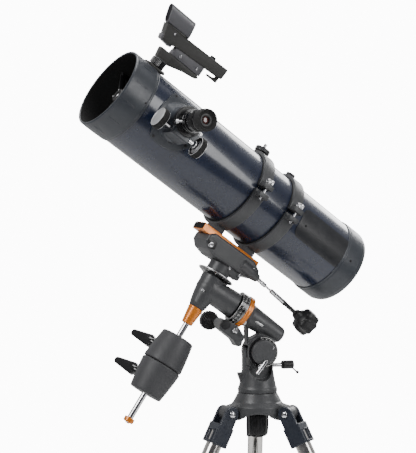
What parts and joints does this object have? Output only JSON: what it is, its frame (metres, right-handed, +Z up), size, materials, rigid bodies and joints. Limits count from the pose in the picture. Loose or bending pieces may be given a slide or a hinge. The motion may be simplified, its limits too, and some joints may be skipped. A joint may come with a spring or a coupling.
{
  "type": "telescope on tripod",
  "caption": "Reflector telescope in two hinged rings on an equatorial mount with counterweights, standing on a folding three-legged tripod with accessory tray.",
  "frame": {"origin": "on the floor at the tripod's vertical axis", "axes": "+Z up along the tripod's axis; -Y is the side the camera views; the tube points towards -X, -Y and up"},
  "size_m": [0.7388, 0.7115, 1.4261],
  "materials": {
    "charcoal_casting": "satin painted casting",
    "chrome": "polished chrome",
    "black_plastic": "moulded black",
    "orange_metal": "orange anodised",
    "weight_paint": "satin grey paint",
    "circle_metal": "black scale with bare edge",
    "navy_tube": "gloss navy paint",
    "charcoal_plastic": "satin charcoal",
    "mirror": "aluminised glass",
    "navy_plastic": "satin moulded",
    "steel_tube": "bright plated",
    "rubber": "matte rubber"
  },
  "bodies": {
    "tripod_head": {"tripod_hub": "charcoal_casting", "leg_pivot_bolts": "chrome"},
    "hub_knob": {"hub_knob": "black_plastic"},
    "brace": {"brace_hub": "black_plastic", "accessory_tray": "black_plastic"},
    "left_leg": {"left_leg_castings": "navy_plastic", "left_leg_tube": "steel_tube"},
    "left_extension": {"left_leg_extension": "steel_tube", "left_foot": "rubber"},
    "left_leg_knob": {"left_leg_knob": "black_plastic"},
    "left_brace_arm": {"left_brace_arm": "steel_tube"},
    "right_leg": {"right_leg_castings": "navy_plastic", "right_leg_tube": "steel_tube"},
    "right_extension": {"right_leg_extension": "steel_tube", "right_foot": "rubber"},
    "right_leg_knob": {"right_leg_knob": "black_plastic"},
    "right_brace_arm": {"right_brace_arm": "steel_tube"},
    "rear_leg": {"rear_leg_castings": "navy_plastic", "rear_leg_tube": "steel_tube"},
    "rear_extension": {"rear_leg_extension": "steel_tube", "rear_foot": "rubber"},
    "rear_leg_knob": {"rear_leg_knob": "black_plastic"},
    "rear_brace_arm": {"rear_brace_arm": "steel_tube"},
    "mount_base": {"mount_base": "charcoal_casting"},
    "latitude_front_bolt": {"latitude_front_bolt": "chrome"},
    "latitude_rear_bolt": {"latitude_rear_bolt": "black_plastic"},
    "polar_housing": {"polar_housing": "charcoal_casting", "ra_worm_housing": "charcoal_casting", "ra_clamp_ring": "orange_metal"},
    "ra_knob": {"ra_knob": "black_plastic"},
    "ra_circle": {"ra_circle": "black_plastic"},
    "dec_housing": {"dec_housing": "charcoal_casting", "shaft_collar": "orange_metal", "counterweight_shaft": "chrome", "shaft_stop": "orange_metal"},
    "dec_circle": {"dec_circle": "circle_metal"},
    "upper_weight": {"upper_weight": "weight_paint"},
    "lower_weight": {"lower_weight": "weight_paint"},
    "upper_weight_knob": {"upper_weight_knob": "black_plastic"},
    "lower_weight_knob": {"lower_weight_knob": "black_plastic"},
    "dec_saddle": {"dec_saddle": "charcoal_casting"},
    "dec_control": {"dec_control": "black_plastic"},
    "cradle": {"dovetail_bar": "orange_metal", "lower_rings": "charcoal_casting"},
    "upper_ring_front": {"upper_ring_front": "charcoal_casting"},
    "upper_ring_rear": {"upper_ring_rear": "charcoal_casting"},
    "ring_screw_front": {"ring_screw_front": "chrome"},
    "ring_screw_rear": {"ring_screw_rear": "chrome"},
    "optical_tube": {"main_tube": "navy_tube", "front_cell": "charcoal_plastic", "rear_cell": "charcoal_plastic", "primary_mirror": "mirror", "spider": "black_plastic", "secondary_mirror": "mirror", "focuser_body": "black_plastic", "finder_bracket": "black_plastic", "finder_body": "black_plastic"},
    "draw_tube": {"draw_tube": "black_plastic"},
    "focus_knobs": {"focus_knobs": "black_plastic"},
    "eyepiece": {"eyepiece": "black_plastic"}
  },
  "joints": [
    {"name": "left_leg_fold", "type": "hinge", "parent": "tripod_head", "child": "left_leg", "pos_m": [-0.06062, -0.035, 0.64], "axis": [0.5, -0.866, 0], "range_deg": [0, 22]},
    {"name": "left_leg_extend", "type": "slide", "parent": "left_leg", "child": "left_extension", "axis": [-0.3999, -0.2309, -0.887], "range_m": [0, 0.35]},
    {"name": "left_leg_knob_turn", "type": "hinge", "parent": "left_leg", "child": "left_leg_knob", "pos_m": [-0.33639, -0.19422, 0.09326], "axis": [-0.7682, -0.4435, 0.4617], "continuous": true},
    {"name": "left_arm_swing", "type": "hinge", "parent": "left_leg", "child": "left_brace_arm", "pos_m": [-0.19907, -0.11493, 0.27227], "axis": [0.5, -0.866, 0], "range_deg": [0, 27.72]},
    {"name": "right_leg_fold", "type": "hinge", "parent": "tripod_head", "child": "right_leg", "pos_m": [0.06062, -0.035, 0.64], "axis": [0.5, 0.866, 0], "range_deg": [0, 22]},
    {"name": "right_leg_extend", "type": "slide", "parent": "right_leg", "child": "right_extension", "axis": [0.3999, -0.2309, -0.887], "range_m": [0, 0.35]},
    {"name": "right_leg_knob_turn", "type": "hinge", "parent": "right_leg", "child": "right_leg_knob", "pos_m": [0.33639, -0.19422, 0.09326], "axis": [0.7682, -0.4435, 0.4617], "continuous": true},
    {"name": "right_arm_swing", "type": "hinge", "parent": "right_leg", "child": "right_brace_arm", "pos_m": [0.19907, -0.11493, 0.27227], "axis": [0.5, 0.866, 0], "range_deg": [0, 27.72]},
    {"name": "rear_leg_fold", "type": "hinge", "parent": "tripod_head", "child": "rear_leg", "pos_m": [0, 0.07, 0.64], "axis": [-1, 0, 0], "range_deg": [0, 22]},
    {"name": "rear_leg_extend", "type": "slide", "parent": "rear_leg", "child": "rear_extension", "axis": [0, 0.4617, -0.887], "range_m": [0, 0.35]},
    {"name": "rear_leg_knob_turn", "type": "hinge", "parent": "rear_leg", "child": "rear_leg_knob", "pos_m": [0, 0.38843, 0.09326], "axis": [0, 0.887, 0.4617], "continuous": true},
    {"name": "rear_arm_swing", "type": "hinge", "parent": "rear_leg", "child": "rear_brace_arm", "pos_m": [0, 0.22986, 0.27227], "axis": [-1, 0, 0], "range_deg": [0, 27.72]},
    {"name": "brace_slide", "type": "slide", "parent": "tripod_head", "child": "brace", "axis": [0, 0, 1], "range_m": [0, 0.07799]},
    {"name": "hub_knob_turn", "type": "hinge", "parent": "tripod_head", "child": "hub_knob", "pos_m": [0, 0, 0.62], "axis": [0, 0, 1], "continuous": true},
    {"name": "azimuth_turn", "type": "hinge", "parent": "tripod_head", "child": "mount_base", "pos_m": [0, 0, 0.678], "axis": [0, 0, 1], "continuous": true},
    {"name": "latitude_tilt", "type": "hinge", "parent": "mount_base", "child": "polar_housing", "pos_m": [0.00383, 0.00115, 0.759], "axis": [-0.2874, 0.9578, 0], "range_deg": [-10, 15]},
    {"name": "latitude_front_bolt_turn", "type": "hinge", "parent": "mount_base", "child": "latitude_front_bolt", "pos_m": [0.00479, -0.02988, 0.731], "axis": [0.2874, -0.9578, 0], "continuous": true},
    {"name": "latitude_rear_bolt_turn", "type": "hinge", "parent": "mount_base", "child": "latitude_rear_bolt", "pos_m": [0.05747, 0.01724, 0.73], "axis": [-0.9578, -0.2874, 0], "continuous": true},
    {"name": "ra_turn", "type": "hinge", "parent": "polar_housing", "child": "dec_housing", "pos_m": [-0.09937, -0.02981, 0.88637], "axis": [-0.8033, -0.241, 0.5446], "range_deg": [-90, 60]},
    {"name": "ra_knob_turn", "type": "hinge", "parent": "polar_housing", "child": "ra_knob", "pos_m": [-0.09483, 0.06551, 0.815], "axis": [0.2874, -0.9578, 0], "continuous": true},
    {"name": "ra_circle_turn", "type": "hinge", "parent": "polar_housing", "child": "ra_circle", "pos_m": [-0.03912, -0.01174, 0.84552], "axis": [-0.8033, -0.241, 0.5446], "continuous": true},
    {"name": "dec_turn", "type": "hinge", "parent": "dec_housing", "child": "dec_saddle", "pos_m": [-0.09937, -0.02981, 0.88637], "axis": [0.5076, 0.2015, 0.8377], "continuous": true},
    {"name": "dec_circle_turn", "type": "hinge", "parent": "dec_housing", "child": "dec_circle", "pos_m": [-0.08414, -0.02377, 0.9115], "axis": [0.5076, 0.2015, 0.8377], "continuous": true},
    {"name": "upper_weight_slide", "type": "slide", "parent": "dec_housing", "child": "upper_weight", "axis": [0.5076, 0.2015, 0.8377], "range_m": [0, 0.028]},
    {"name": "lower_weight_slide", "type": "slide", "parent": "dec_housing", "child": "lower_weight", "axis": [0.5076, 0.2015, 0.8377], "range_m": [-0.045, 0]},
    {"name": "upper_weight_knob_turn", "type": "hinge", "parent": "upper_weight", "child": "upper_weight_knob", "pos_m": [-0.20943, -0.02861, 0.78058], "axis": [-0.737, 0.6051, 0.301], "continuous": true},
    {"name": "lower_weight_knob_turn", "type": "hinge", "parent": "lower_weight", "child": "lower_weight_knob", "pos_m": [-0.24192, -0.04151, 0.72696], "axis": [-0.737, 0.6051, 0.301], "continuous": true},
    {"name": "dec_control_turn", "type": "hinge", "parent": "dec_saddle", "child": "dec_control", "pos_m": [-0.0046, -0.00837, 0.90736], "axis": [0.673, 0.4247, -0.6056], "continuous": true},
    {"name": "dovetail_slide", "type": "slide", "parent": "dec_saddle", "child": "cradle", "axis": [-0.716, -0.4423, 0.5401], "range_m": [-0.02, 0.02]},
    {"name": "upper_ring_front_open", "type": "hinge", "parent": "cradle", "child": "upper_ring_front", "pos_m": [-0.08325, 0.06808, 1.08787], "axis": [-0.716, -0.4423, 0.5401], "range_deg": [0, 75]},
    {"name": "ring_screw_front_turn", "type": "hinge", "parent": "upper_ring_front", "child": "ring_screw_front", "pos_m": [0.00782, -0.09797, 1.07262], "axis": [0.5076, 0.2015, 0.8377], "continuous": true},
    {"name": "upper_ring_rear_open", "type": "hinge", "parent": "cradle", "child": "upper_ring_rear", "pos_m": [-0.02311, 0.10523, 1.04249], "axis": [-0.716, -0.4423, 0.5401], "range_deg": [0, 75]},
    {"name": "ring_screw_rear_turn", "type": "hinge", "parent": "upper_ring_rear", "child": "ring_screw_rear", "pos_m": [0.06796, -0.06082, 1.02725], "axis": [0.5076, 0.2015, 0.8377], "continuous": true},
    {"name": "tube_turn", "type": "hinge", "parent": "cradle", "child": "optical_tube", "pos_m": [0.00047, 0.00981, 1.05116], "axis": [-0.716, -0.4423, 0.5401], "continuous": true},
    {"name": "focus_turn", "type": "hinge", "parent": "optical_tube", "child": "focus_knobs", "pos_m": [-0.15066, -0.21792, 1.17717], "axis": [-0.716, -0.4423, 0.5401], "range_deg": [-230, 60]},
    {"name": "draw_slide", "type": "slide", "parent": "optical_tube", "child": "draw_tube", "axis": [0.5136, -0.8578, -0.0216], "range_m": [-0.0065, 0.0242]},
    {"name": "eyepiece_slide", "type": "slide", "parent": "draw_tube", "child": "eyepiece", "axis": [0.5136, -0.8578, -0.0216], "range_m": [0, 0.026]}
  ],
  "couplings": [
    {"joint": "left_arm_swing", "follows": "left_leg_fold", "ratio": 1.2375},
    {"joint": "right_arm_swing", "follows": "left_leg_fold", "ratio": 1.2375},
    {"joint": "rear_arm_swing", "follows": "left_leg_fold", "ratio": 1.2375},
    {"joint": "right_leg_fold", "follows": "left_leg_fold", "ratio": 1},
    {"joint": "rear_leg_fold", "follows": "left_leg_fold", "ratio": 1},
    {"joint": "brace_slide", "follows": "left_leg_fold", "m_per_rad": 0.2005},
    {"joint": "draw_slide", "follows": "focus_turn", "m_per_rad": -0.006}
  ]
}
